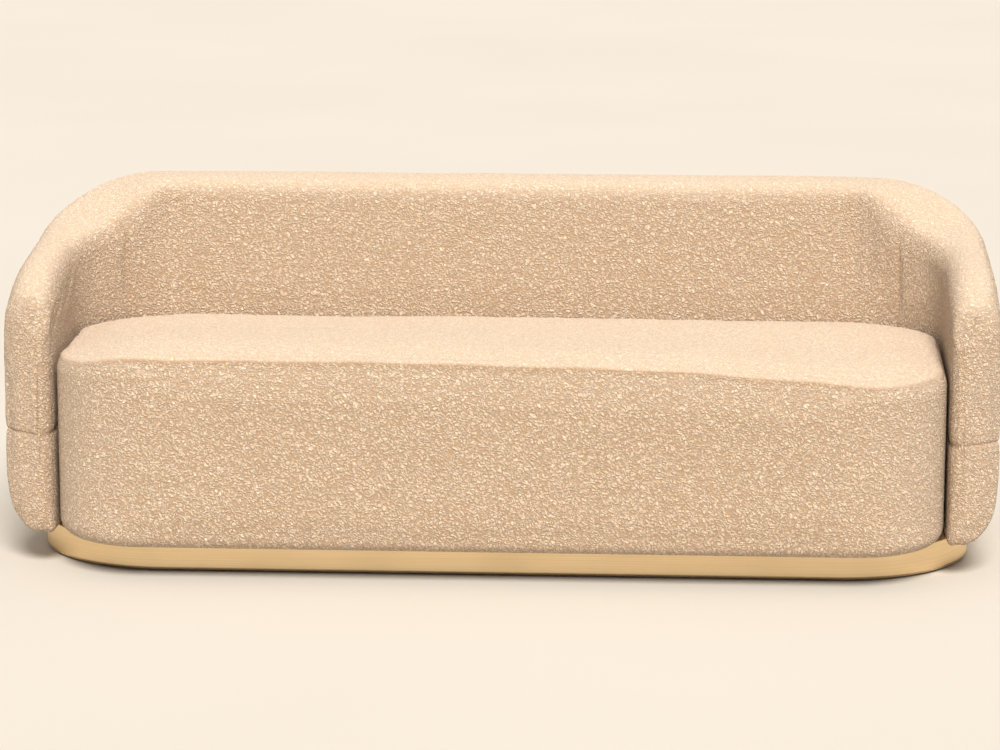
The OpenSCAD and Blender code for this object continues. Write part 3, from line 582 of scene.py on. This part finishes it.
def build_seat():
    """The padded seat as one closed skin, swollen between its seam and its foot by the cloth step. Its sides stay
    straight where the shell stands against them."""
    grid, starts, lift = seat_grid(SEAT_FINE, SEAT_ROWS_FINE)
    columns, rows = grid.shape[:2]
    row = np.arange(rows)[None, :]
    beside = smooth((grid[:, :, 1] - Y_ARM + 0.05) / 0.07)
    level = smooth((grid[:, :, 2] - SEAT_TOP_Z + 0.05) / 0.04)
    free = np.where(row < starts[1], 1.0, 1 - beside * (1 - 0.5 * level))
    free = free * (row < starts[4] + 4)
    low, low_starts, _ = seat_grid(SEAT_COARSE, SEAT_ROWS_COARSE)
    c, r = low.shape[:2]
    points, faces, number = unique_mesh(low, seat_faces(c, r))
    hold = np.full((c, r), 0.16)
    hold[:, low_starts[1] + 1] = 0.75
    hold[:, low_starts[4]:] = 1.0
    pinned = np.zeros(len(points))
    np.maximum.at(pinned, number, hold.ravel())
    move = inflate("seat_swelling", points, outward(points, faces), pinned, SEAT_PRESSURE, SEAT_SWELL)
    move = move[number].reshape(c, r, 3)
    long_f, side_f, long_c, side_c = *SEAT_FINE, *SEAT_COARSE
    by_plan = weights(fine_to_coarse((long_f, side_f) * 2, (long_c, side_c) * 2, True), c, True)
    by_row = weights(fine_to_coarse(SEAT_ROWS_FINE, SEAT_ROWS_COARSE, False), r, False)
    grid = grid + np.einsum("ai,ijk,bj->abk", by_plan, move, by_row) * free[:, :, None]
    normal = -grid_normals(grid, True, False)
    normal[:, 0] = [0, 0, 1]
    seam_at = np.abs(grid[:, :, 2] - lift - SEAT_SEAM_Z + 0.0010 * np.sin(grid[:, :, 0] * 27))
    seam_at = np.where((row >= starts[1]) & (row < starts[4]), seam_at, 1.0)
    seam = ridge(seam_at, 0.0030)
    pucker = 1 + 0.35 * np.sin(grid[:, :, 0] * 2 * math.pi / 0.021 + grid[:, :, 1] * 2 * math.pi / 0.021)
    dip = 0.0034 * seam + 0.0018 * ridge(seam_at, 0.013) * pucker
    flat = grid.reshape(-1, 3)
    swell = 0.0014 * soft_noise(flat, 0.30, 21, 2) + 0.00045 * soft_noise(flat, 0.026, 22, 2)
    keep = np.where(row < starts[4], np.maximum(free, 0.15), 0.0)
    grid = grid + normal * (swell.reshape(columns, rows) * keep - dip)[:, :, None]
    points, faces, number = unique_mesh(seat_grid(SEAT_FINE, SEAT_ROWS_FINE)[0], seat_faces(columns, rows))
    moved = np.zeros_like(points)
    count = np.zeros(len(points))
    np.add.at(moved, number, grid.reshape(-1, 3))
    np.add.at(count, number, 1)
    points = moved / count[:, None]
    obj = make_mesh("seat_upholstery", points, outward(points, faces))
    painted = np.zeros(len(points))
    np.maximum.at(painted, number, seam.ravel())
    # the seam mask is stored for the material, which paints shade along the seam
    paint(obj, "seam", painted)
    return obj


# ---- the plinth's band ----

PLINTH_FRONT_R = 0.285
PLINTH_REAR_R = 0.250
BAND_T = 0.0015


def rounded_plan(half_x, y0, y1, front_r, rear_r, n_corner, n_straight):
    """A closed outline from above with straight sides and four round corners, anticlockwise, with its outward
    directions."""
    corners = [((half_x - front_r, y0 + front_r), front_r, -90), ((half_x - rear_r, y1 - rear_r), rear_r, 0),
               ((rear_r - half_x, y1 - rear_r), rear_r, 90), ((front_r - half_x, y0 + front_r), front_r, 180)]
    points, outs = [], []
    for k, (c, r, a) in enumerate(corners):
        bend = arc(c, r, a, a + 90, n_corner)
        turn = np.radians(np.linspace(a, a + 90, n_corner))
        points.append(bend)
        outs.append(np.stack([np.cos(turn), np.sin(turn)], 1))
        nc, nr, na = corners[(k + 1) % 4]
        start = arc(nc, nr, na, na, 1)[0]
        t = np.linspace(0, 1, n_straight + 2)[1:-1, None]
        points.append(bend[-1] + (start - bend[-1]) * t)
        outs.append(np.repeat(outs[-1][-1:], n_straight, 0))
    return np.concatenate(points), np.concatenate(outs)


def build_band():
    """The brass-faced band: a thin strip bent round the plinth. Its section is carried round the rounded plan; both
    edges are eased by a small round, and it closes in an upright joint at the back."""
    low, high = band_box
    plan, out = rounded_plan(high.x, low.y, high.y, PLINTH_FRONT_R, PLINTH_REAR_R, 61, 60)
    ease = 0.0006
    r = ease * (1 - np.cos(np.radians([0, 30, 60, 90])))
    outer_q = np.concatenate([r[::-1], np.zeros(12), r])
    outer_z = np.concatenate([low.z + ease * (1 - np.sin(np.radians([0, 30, 60, 90]))),
                              np.linspace(low.z + ease, high.z - ease, 14)[1:-1],
                              high.z - ease * (1 - np.sin(np.radians([90, 60, 30, 0])))])
    q = np.concatenate([outer_q, [BAND_T, BAND_T]])
    z = np.concatenate([outer_z, [high.z, low.z]])
    grid = np.concatenate([plan[:, None, :] - out[:, None, :] * q[None, :, None],
                           np.repeat(z[None, :, None], len(plan), 0)], 2)
    joint = ridge(grid[:, :, 0] - 0.31, 0.004) * (grid[:, :, 1] > 0)
    grid[:, :, 1] -= 0.0007 * joint * (q < BAND_T)[None, :]
    columns, rows = grid.shape[:2]
    i = np.arange(columns)[:, None]
    j = np.arange(rows)[None, :]
    k, m = (i + 1) % columns, (j + 1) % rows
    faces = np.stack([i * rows + j, k * rows + j, k * rows + m, i * rows + m], -1).reshape(-1, 4).tolist()
    points = grid.reshape(-1, 3)
    return make_mesh("brass_band", points, outward(points, faces))


# ---- shader helpers ----

def put(tree, kind, sets=None, **links):
    """Adds a node, sets its properties or sockets from sets, and joins its named sockets to other nodes' outputs."""
    node = tree.nodes.new("ShaderNode" + kind)
    for key, value in (sets or {}).items():
        if key in node.inputs:
            node.inputs[key].default_value = value
        else:
            setattr(node, key, value)
    for key, source in links.items():
        tree.links.new(source, node.inputs[key.replace("_", " ")])
    return node


def sum_of(tree, operation, *values):
    """A Math node over sockets or plain numbers."""
    node = tree.nodes.new("ShaderNodeMath")
    node.operation = operation
    for k, value in enumerate(values):
        if isinstance(value, (int, float)):
            node.inputs[k].default_value = value
        else:
            tree.links.new(value, node.inputs[k])
    return node.outputs[0]


def times(tree, a, b):
    """The product of two numbers or sockets."""
    return sum_of(tree, "MULTIPLY", a, b)


def blend_colours(tree, share, a, b, mode="MIX"):
    """Mixes two colours, each a socket or a plain colour."""
    node = tree.nodes.new("ShaderNodeMix")
    node.data_type = "RGBA"
    node.blend_type = mode
    for value, k in ((share, 0), (a, 6), (b, 7)):
        if hasattr(value, "links") or hasattr(value, "is_output"):
            tree.links.new(value, node.inputs[k])
        else:
            node.inputs[k].default_value = value if isinstance(value, (int, float)) else (*value, 1.0)
    return node.outputs[2]


def ramp(tree, value, low, high, to_low=0.0, to_high=1.0):
    """Maps value from low..high to to_low..to_high on an S-curve."""
    node = put(tree, "MapRange", {"interpolation_type": "SMOOTHSTEP", "From Min": low, "From Max": high,
                                  "To Min": to_low, "To Max": to_high}, Value=value)
    return node.outputs[0]


def new_group(name, inputs, outputs):
    """A node group with named number sockets (and Vector for the place), and its inner ends."""
    tree = bpy.data.node_groups.new(name, "ShaderNodeTree")
    for socket, value in inputs:
        kind = "Vector" if value is None else "Color" if isinstance(value, tuple) else "Float"
        kind = "NodeSocket" + kind
        made = tree.interface.new_socket(socket, in_out="INPUT", socket_type=kind)
        if value is not None:
            made.default_value = (*value, 1.0) if isinstance(value, tuple) else value
    for socket, kind in outputs:
        tree.interface.new_socket(socket, in_out="OUTPUT", socket_type="NodeSocket" + kind)
    return tree, tree.nodes.new("NodeGroupInput").outputs, tree.nodes.new("NodeGroupOutput").inputs


def use_group(tree, group, sets=None, **links):
    node = tree.nodes.new("ShaderNodeGroup")
    node.node_tree = group
    for key, value in (sets or {}).items():
        node.inputs[key].default_value = value
    for key, source in links.items():
        tree.links.new(source, node.inputs[key.replace("_", " ")])
    return node


def new_material(name, **shader):
    """A material with its Principled shader set from the given sockets, and a socket of Object coordinates."""
    mat = bpy.data.materials.new(name)
    mat.use_nodes = True
    tree = mat.node_tree
    bsdf = tree.nodes["Principled BSDF"]
    for key, value in shader.items():
        bsdf.inputs[key.replace("_", " ")].default_value = (*value, 1.0) if isinstance(value, tuple) else value
    return mat, tree, bsdf, tree.nodes.new("ShaderNodeTexCoord").outputs["Object"]


def bump(tree, bsdf, height, distance, strength=1.0):
    """Feeds a height, in units of distance, to the shader's normal."""
    node = put(tree, "Bump", {"Distance": distance, "Strength": strength}, Height=height)
    tree.links.new(node.outputs[0], bsdf.inputs["Normal"])


# ---- effects used by several materials ----

def make_curl_group():
    """Looped pile: the place is bent by a slow noise and drawn out along a slant, then split into cells. Each cell is
    a round tuft whose yarn rings it; fine fibres lie over it."""
    tree, given, out = new_group("looped_pile", [("Place", None), ("Curl", 0.0085), ("Slant", 0.6), ("Fray", 0.5)],
                                 [("Height", "Float"), ("Hollow", "Float"), ("Tip", "Float"), ("Tint", "Float")])
    rate = sum_of(tree, "DIVIDE", 1.0, given["Curl"])
    slow = put(tree, "TexNoise", {"Detail": 1.0}, Vector=given["Place"], Scale=times(tree, rate, 0.42))
    centred = put(tree, "VectorMath", {"operation": "SUBTRACT"}, Vector=slow.outputs["Color"])
    centred.inputs[1].default_value = (0.5, 0.5, 0.5)
    pushed = put(tree, "VectorMath", {"operation": "SCALE"}, Vector=centred.outputs[0],
                 Scale=times(tree, given["Curl"], 2.6))
    moved = put(tree, "VectorMath", {"operation": "ADD"}, Vector=given["Place"])
    tree.links.new(pushed.outputs[0], moved.inputs[1])
    parts = put(tree, "SeparateXYZ", Vector=moved.outputs[0])
    slant = times(tree, parts.outputs[2], given["Slant"])
    drawn = put(tree, "CombineXYZ", X=sum_of(tree, "ADD", parts.outputs[0], slant),
                Y=sum_of(tree, "ADD", parts.outputs[1], slant),
                Z=times(tree, parts.outputs[2], 0.86))
    cells = put(tree, "TexVoronoi", {"Randomness": 1.0}, Vector=drawn.outputs[0], Scale=rate)
    small = put(tree, "TexVoronoi", {"Randomness": 1.0}, Vector=drawn.outputs[0],
                Scale=times(tree, rate, 2.3))
    strands = put(tree, "TexNoise", {"Detail": 2.0, "Distortion": 1.4}, Vector=drawn.outputs[0],
                  Scale=times(tree, rate, 2.8))
    d = cells.outputs["Distance"]
    dome = ramp(tree, d, 0.08, 0.72, 1.0, 0.0)
    ring = ramp(tree, sum_of(tree, "ABSOLUTE", sum_of(tree, "SUBTRACT", d, 0.30)), 0.0, 0.17, 1.0, 0.0)
    bead = ramp(tree, small.outputs["Distance"], 0.1, 0.7, 1.0, 0.0)
    across = sum_of(tree, "ABSOLUTE", sum_of(tree, "SUBTRACT", strands.outputs[0], 0.5))
    strand = ramp(tree, across, 0.0, 0.14, 1.0, 0.0)
    yarn = sum_of(tree, "ADD", times(tree, ring, 0.08), times(tree, bead, 0.20))
    frayed = times(tree, strand, times(tree, given["Fray"], 0.12))
    height = sum_of(tree, "ADD", times(tree, dome, 0.70), sum_of(tree, "ADD", yarn, frayed))
    tree.links.new(height, out["Height"])
    tree.links.new(ramp(tree, height, 0.12, 0.52, 1.0, 0.0), out["Hollow"])
    tree.links.new(ramp(tree, height, 0.62, 0.98, 0.0, 1.0), out["Tip"])
    tree.links.new(put(tree, "SeparateColor", Color=cells.outputs["Color"]).outputs[0], out["Tint"])
    return tree


def make_grain_group():
    """Sawn and planed wood: rings of growth drawn out along one direction, pores, and a slow change of tone."""
    tree, given, out = new_group("wood_grain", [("Place", None), ("Rings", 46.0), ("Pores", 1.0)],
                                 [("Tone", "Float"), ("Relief", "Float")])
    drawn = put(tree, "Mapping", {"Scale": (0.09, 1.0, 1.0)}, Vector=given["Place"])
    slow = put(tree, "TexNoise", {"Scale": 7.0, "Detail": 2.0}, Vector=drawn.outputs[0])
    rings = put(tree, "TexNoise", {"Detail": 4.0, "Distortion": 0.8}, Vector=drawn.outputs[0], Scale=given["Rings"])
    fine = put(tree, "Mapping", {"Scale": (0.025, 1.0, 1.0)}, Vector=given["Place"])
    pores = put(tree, "TexNoise", {"Scale": 620.0, "Detail": 2.0}, Vector=fine.outputs[0])
    pore = times(tree, ramp(tree, pores.outputs[0], 0.55, 0.68), given["Pores"])
    tone = sum_of(tree, "ADD", times(tree, rings.outputs[0], 0.7),
                  times(tree, slow.outputs[0], 0.5))
    tree.links.new(sum_of(tree, "SUBTRACT", tone, times(tree, pore, 0.3)), out["Tone"])
    tree.links.new(sum_of(tree, "SUBTRACT", times(tree, rings.outputs[0], 0.4), pore), out["Relief"])
    return tree


def make_wear_group():
    """Handling: a slow patchy mask and fine scratches, for metal and moulded parts."""
    tree, given, out = new_group("handling_marks", [("Place", None), ("Patch", 9.0), ("Scratch", 260.0)],
                                 [("Patches", "Float"), ("Scratches", "Float")])
    slow = put(tree, "TexNoise", {"Detail": 3.0}, Vector=given["Place"], Scale=given["Patch"])
    fine = put(tree, "TexNoise", {"Detail": 1.0, "Distortion": 2.0}, Vector=given["Place"], Scale=given["Scratch"])
    tree.links.new(ramp(tree, slow.outputs[0], 0.35, 0.7), out["Patches"])
    across = sum_of(tree, "ABSOLUTE", sum_of(tree, "SUBTRACT", fine.outputs[0], 0.5))
    tree.links.new(ramp(tree, across, 0.0, 0.03, 1.0, 0.0), out["Scratches"])
    return tree


def make_weave_group():
    """Two sets of threads crossing at right angles over three faces: each thread is a sine across its own line, and
    over and under swap from one crossing to the next."""
    tree, given, out = new_group("plain_weave", [("Place", None), ("Pitch", 0.0016)],
                                 [("Height", "Float"), ("Thread", "Float")])
    rate = sum_of(tree, "DIVIDE", math.pi, given["Pitch"])
    parts = put(tree, "SeparateXYZ", Vector=given["Place"])
    rise = times(tree, parts.outputs[2], 0.5)
    one = times(tree, sum_of(tree, "ADD", parts.outputs[0], rise), rate)
    two = times(tree, sum_of(tree, "ADD", parts.outputs[1], parts.outputs[2]), rate)
    warp = sum_of(tree, "ABSOLUTE", sum_of(tree, "SINE", one))
    weft = sum_of(tree, "ABSOLUTE", sum_of(tree, "SINE", two))
    swap = times(tree, sum_of(tree, "COSINE", one), sum_of(tree, "COSINE", two))
    over = ramp(tree, swap, -0.2, 0.2)
    height = sum_of(tree, "ADD", times(tree, warp, over),
                    times(tree, weft, sum_of(tree, "SUBTRACT", 1.0, over)))
    fuzz = put(tree, "TexNoise", {"Scale": 900.0, "Detail": 2.0}, Vector=given["Place"])
    tree.links.new(sum_of(tree, "ADD", height, times(tree, fuzz.outputs[0], 0.3)), out["Height"])
    tree.links.new(fuzz.outputs[0], out["Thread"])
    return tree


looped_pile = make_curl_group()
wood_grain = make_grain_group()
handling_marks = make_wear_group()
plain_weave = make_weave_group()


# ---- materials ----

def boucle_cloth():
    """Cream-peach looped pile: painted ochre shade in the hollows between the curls, a painted highlight on the tips,
    and a slightly different tone from curl to curl and over wide patches. Along a seam the pile is pressed down and
    painted darker as shade."""
    mat, tree, bsdf, place = new_material("boucle_cloth", Roughness=0.92, Specular_IOR_Level=0.18, Sheen_Weight=0.45,
                                          Sheen_Roughness=0.55, Sheen_Tint=(1.0, 0.93, 0.84))
    curls = use_group(tree, looped_pile, {"Curl": 0.0048, "Slant": 0.55, "Fray": 0.7}, Place=place)
    patches = put(tree, "TexNoise", {"Scale": 3.2, "Detail": 2.0}, Vector=place).outputs[0]
    seam = put(tree, "Attribute", {"attribute_name": "seam"}).outputs["Fac"]
    body = blend_colours(tree, ramp(tree, curls.outputs["Tint"], 0.0, 1.0), (0.86, 0.655, 0.465), (0.91, 0.72, 0.535))
    body = blend_colours(tree, ramp(tree, patches, 0.35, 0.65, 0.0, 0.30), body, (0.88, 0.67, 0.47))
    # painted highlight: the curls' tips are mixed towards a pale cream
    body = blend_colours(tree, times(tree, curls.outputs["Tip"], 0.35), body, (0.96, 0.83, 0.68))
    # upward faces get less of the painted hollow shade, so the tops come out paler (painted light), and their relief
    # is lower
    facing = tree.nodes.new("ShaderNodeTexCoord").outputs["Normal"]
    flat = ramp(tree, put(tree, "SeparateXYZ", Vector=facing).outputs[2], 0.35, 1.0)
    share = sum_of(tree, "SUBTRACT", 0.74, times(tree, flat, 0.28))
    hollow_shade = times(tree, curls.outputs["Hollow"], share)
    # painted shade: the hollows between the curls are mixed towards dark ochre
    body = blend_colours(tree, hollow_shade, body, (0.40, 0.235, 0.12))
    # painted shade: along the seam's crease the colour is mixed towards dark brown
    body = blend_colours(tree, times(tree, seam, 0.60), body, (0.30, 0.18, 0.10))
    tree.links.new(body, bsdf.inputs["Base Color"])
    height = times(tree, curls.outputs["Height"], ramp(tree, seam, 0.1, 0.9, 1.0, 0.45))
    bump(tree, bsdf, times(tree, height, ramp(tree, flat, 0.0, 1.0, 1.0, 0.65)), 0.0050)
    return mat


def brushed_brass():
    """Satin brass-toned metal: hair-fine grain along the band, a faint change of tone, and duller patches."""
    mat, tree, bsdf, place = new_material("brushed_brass", Metallic=1.0, Anisotropic=0.35, Coat_Roughness=0.3)
    grain = put(tree, "Mapping", {"Scale": (2.0, 2.0, 900.0)}, Vector=place).outputs[0]
    hair = put(tree, "TexNoise", {"Scale": 1.0, "Detail": 3.0}, Vector=grain).outputs[0]
    marks = use_group(tree, handling_marks, {"Patch": 5.0, "Scratch": 120.0}, Place=place)
    tone = blend_colours(tree, ramp(tree, hair, 0.3, 0.7), (0.84, 0.63, 0.36), (0.97, 0.76, 0.46))
    tone = blend_colours(tree, times(tree, marks.outputs["Patches"], 0.25), tone, (0.78, 0.575, 0.33))
    tree.links.new(tone, bsdf.inputs["Base Color"])
    dull = times(tree, marks.outputs["Patches"], 0.05)
    rough = sum_of(tree, "ADD", ramp(tree, hair, 0.3, 0.7, 0.36, 0.46), dull)
    tree.links.new(rough, bsdf.inputs["Roughness"])
    bump(tree, bsdf, sum_of(tree, "ADD", hair, times(tree, marks.outputs["Scratches"], 0.1)), 0.00008)
    return mat


def wood(name, pale, dark, rings, turned):
    """Bare wood with its grain along the sofa, or turned to run upright."""
    mat, tree, bsdf, place = new_material(name, Specular_IOR_Level=0.35)
    if turned:
        place = put(tree, "Mapping", {"Rotation": (0.0, math.pi / 2, 0.0)}, Vector=place).outputs[0]
    grain = use_group(tree, wood_grain, {"Rings": rings, "Pores": 0.8}, Place=place)
    tone = blend_colours(tree, ramp(tree, grain.outputs["Tone"], 0.35, 0.85), dark, pale)
    tree.links.new(tone, bsdf.inputs["Base Color"])
    tree.links.new(ramp(tree, grain.outputs["Relief"], -0.4, 0.4, 0.72, 0.55), bsdf.inputs["Roughness"])
    bump(tree, bsdf, grain.outputs["Relief"], 0.0004)
    return mat


def padding(name, colour, shade, cell):
    """Pressed felt: fine open cells with a slow change of tone."""
    mat, tree, bsdf, place = new_material(name, Roughness=0.95, Specular_IOR_Level=0.2)
    cells = put(tree, "TexVoronoi", {"Scale": 1 / cell}, Vector=place).outputs["Distance"]
    slow = put(tree, "TexNoise", {"Scale": 6.0, "Detail": 3.0}, Vector=place).outputs[0]
    tone = blend_colours(tree, ramp(tree, slow, 0.35, 0.65), colour, shade)
    # painted shade: the cells' hollows are mixed towards the darker colour
    tree.links.new(blend_colours(tree, ramp(tree, cells, 0.1, 0.6, 0.4, 0.0), tone, shade), bsdf.inputs["Base Color"])
    bump(tree, bsdf, cells, cell * 0.6)
    return mat


def woven(name, colour, shade, pitch):
    """Plain-woven cloth or strap."""
    mat, tree, bsdf, place = new_material(name, Roughness=0.85, Specular_IOR_Level=0.25, Sheen_Weight=0.15)
    weave = use_group(tree, plain_weave, {"Pitch": pitch}, Place=place)
    # painted shade: the low parts between the threads take the darker colour
    tone = blend_colours(tree, ramp(tree, weave.outputs["Height"], 0.2, 1.0), shade, colour)
    tone = blend_colours(tree, ramp(tree, weave.outputs["Thread"], 0.3, 0.7, 0.0, 0.3), tone, shade)
    tree.links.new(tone, bsdf.inputs["Base Color"])
    bump(tree, bsdf, weave.outputs["Height"], pitch * 0.3)
    return mat


def hardware(name, colour, shade, metallic, roughness):
    """Plated steel or moulded nylon: a plain tone with dull patches and fine scratches."""
    mat, tree, bsdf, place = new_material(name, Metallic=metallic)
    marks = use_group(tree, handling_marks, {"Patch": 40.0, "Scratch": 900.0}, Place=place)
    tree.links.new(blend_colours(tree, marks.outputs["Patches"], colour, shade), bsdf.inputs["Base Color"])
    dull = ramp(tree, marks.outputs["Patches"], 0.0, 1.0, roughness, roughness + 0.15)
    tree.links.new(dull, bsdf.inputs["Roughness"])
    bump(tree, bsdf, marks.outputs["Scratches"], 0.00006)
    return mat


boucle = boucle_cloth()
brass = brushed_brass()
beech = wood("planed_beech", (0.60, 0.42, 0.25), (0.42, 0.27, 0.145), 46.0, False)
beech_up = wood("planed_beech_upright", (0.60, 0.42, 0.25), (0.42, 0.27, 0.145), 46.0, True)
birch = wood("birch_plywood", (0.68, 0.52, 0.34), (0.52, 0.37, 0.22), 30.0, False)
felt = padding("pressed_felt", (0.36, 0.36, 0.35), (0.20, 0.20, 0.20), 0.0007)
strap = woven("elastic_webbing", (0.50, 0.40, 0.24), (0.28, 0.20, 0.10), 0.0022)
lining = woven("black_lining", (0.055, 0.055, 0.058), (0.018, 0.018, 0.02), 0.0012)
nylon = hardware("glide_nylon", (0.10, 0.095, 0.09), (0.06, 0.058, 0.055), 0.0, 0.42)
zinc = hardware("zinc_plated_steel", (0.62, 0.62, 0.60), (0.48, 0.48, 0.47), 1.0, 0.30)

NODE_FINISH = {
    "floor_glides": nylon, "glide_nails": zinc, "plinth_front_board": beech, "plinth_rear_board": beech,
    "plinth_side_boards": beech, "plinth_corner_bends": birch, "plinth_crosspieces": beech,
    "plinth_glide_blocks": beech, "plinth_deck": birch, "plinth_screws": zinc, "seat_front_rail": beech,
    "seat_rear_rail": beech, "seat_side_rails": beech, "seat_corner_bends": birch, "seat_cross_rails": beech,
    "seat_screws": zinc, "seat_webbing_long": strap, "seat_webbing_cross": strap, "seat_insulator_pad": felt,
    "seat_dust_cover": lining, "base_board_arms": birch, "base_board_back": birch, "bottom_rail_arms": beech,
    "bottom_rail_back": beech, "corner_plates": beech, "top_rail_arms": beech, "top_rail_back": beech,
    "arm_posts": beech_up, "corner_ribs": birch, "back_uprights": beech_up, "back_webbing": strap,
    "outer_ply_left": birch, "outer_ply_back": birch, "outer_ply_right": birch, "inner_ply_arms": birch,
    "shell_screws": zinc,
}

# ---- the pieces in place ----

SHELL_NODES = ("shell_upper_cover", "shell_lower_cover", "back_foam", "arm_foam_left", "arm_foam_right",
               "arm_nose_foam_left", "arm_nose_foam_right")
SEAT_NODES = ("seat_top_cover", "seat_border_cover", "seat_foam_core", "seat_foam_topper", "seat_front_foam",
              "seat_rear_foam", "seat_side_foams", "seat_corner_foams")

for name, finish in NODE_FINISH.items():
    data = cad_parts[name].data
    data.materials.clear()
    data.materials.append(finish)

shell = build_shell()
seat = build_seat()
band = build_band()
for piece, finish, slot, nodes in ((shell, boucle, "boucle", SHELL_NODES), (seat, boucle, "boucle", SEAT_NODES),
                                   (band, brass, "brass_band", ("plinth_band",))):
    piece.data.materials.append(finish)
    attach(piece, "root")
    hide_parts(*nodes)

# ---- floor, light and camera ----

floor = make_mesh("floor", np.array([[-30.0, -12, 0], [30, -12, 0], [30, 26, 0], [-30, 26, 0]]), [[0, 1, 2, 3]], False)
floor_mat, floor_tree, floor_bsdf, floor_place = new_material("pale_floor", Roughness=0.8, Specular_IOR_Level=0.1)
floor_tone = put(floor_tree, "TexNoise", {"Scale": 0.6, "Detail": 2.0}, Vector=floor_place).outputs[0]
floor_tone = ramp(floor_tree, floor_tone, 0.3, 0.7)
floor_tone = blend_colours(floor_tree, floor_tone, (0.61, 0.57, 0.51), (0.625, 0.585, 0.525))
floor_tree.links.new(floor_tone, floor_bsdf.inputs["Base Color"])
floor.data.materials.append(floor_mat)

world = bpy.data.worlds.new("studio")
world.use_nodes = True
sky = world.node_tree
upward = put(sky, "SeparateXYZ", Vector=sky.nodes.new("ShaderNodeTexCoord").outputs["Generated"]).outputs[2]
background = sky.nodes["Background"]
background.inputs["Color"].default_value = (1.0, 0.965, 0.92, 1.0)
sky.links.new(ramp(sky, upward, -0.1, 1.0, 0.46, 0.60), background.inputs["Strength"])
scene.world = world


def soft_sun(name, toward, spread, strength, colour):
    """A wide even light that shines from the direction toward; spread is its width in the sky, in degrees."""
    data = bpy.data.lights.new(name, "SUN")
    data.angle = math.radians(spread)
    data.energy = strength
    data.color = colour
    light = bpy.data.objects.new(name, data)
    scene.collection.objects.link(light)
    x, y, z = np.array(toward) / np.linalg.norm(toward)
    light.rotation_euler = (0.0, math.acos(z), math.atan2(y, x))
    return light


soft_sun("key_light", (0.16, -0.95, 1.05), 22.0, 4.25, (1.0, 0.955, 0.90))

camera_data = bpy.data.cameras.new("camera")
camera_data.lens = 125.89
camera_data.sensor_width = 36.0
camera_data.clip_end = 100.0
camera = bpy.data.objects.new("camera", camera_data)
camera.location = (0.4257, -7.3145, 1.8775)
camera.rotation_euler = (math.radians(90 - 11.722), 0.0, math.radians(3.434))
scene.collection.objects.link(camera)
scene.camera = camera
scene.view_settings.view_transform = "Standard"
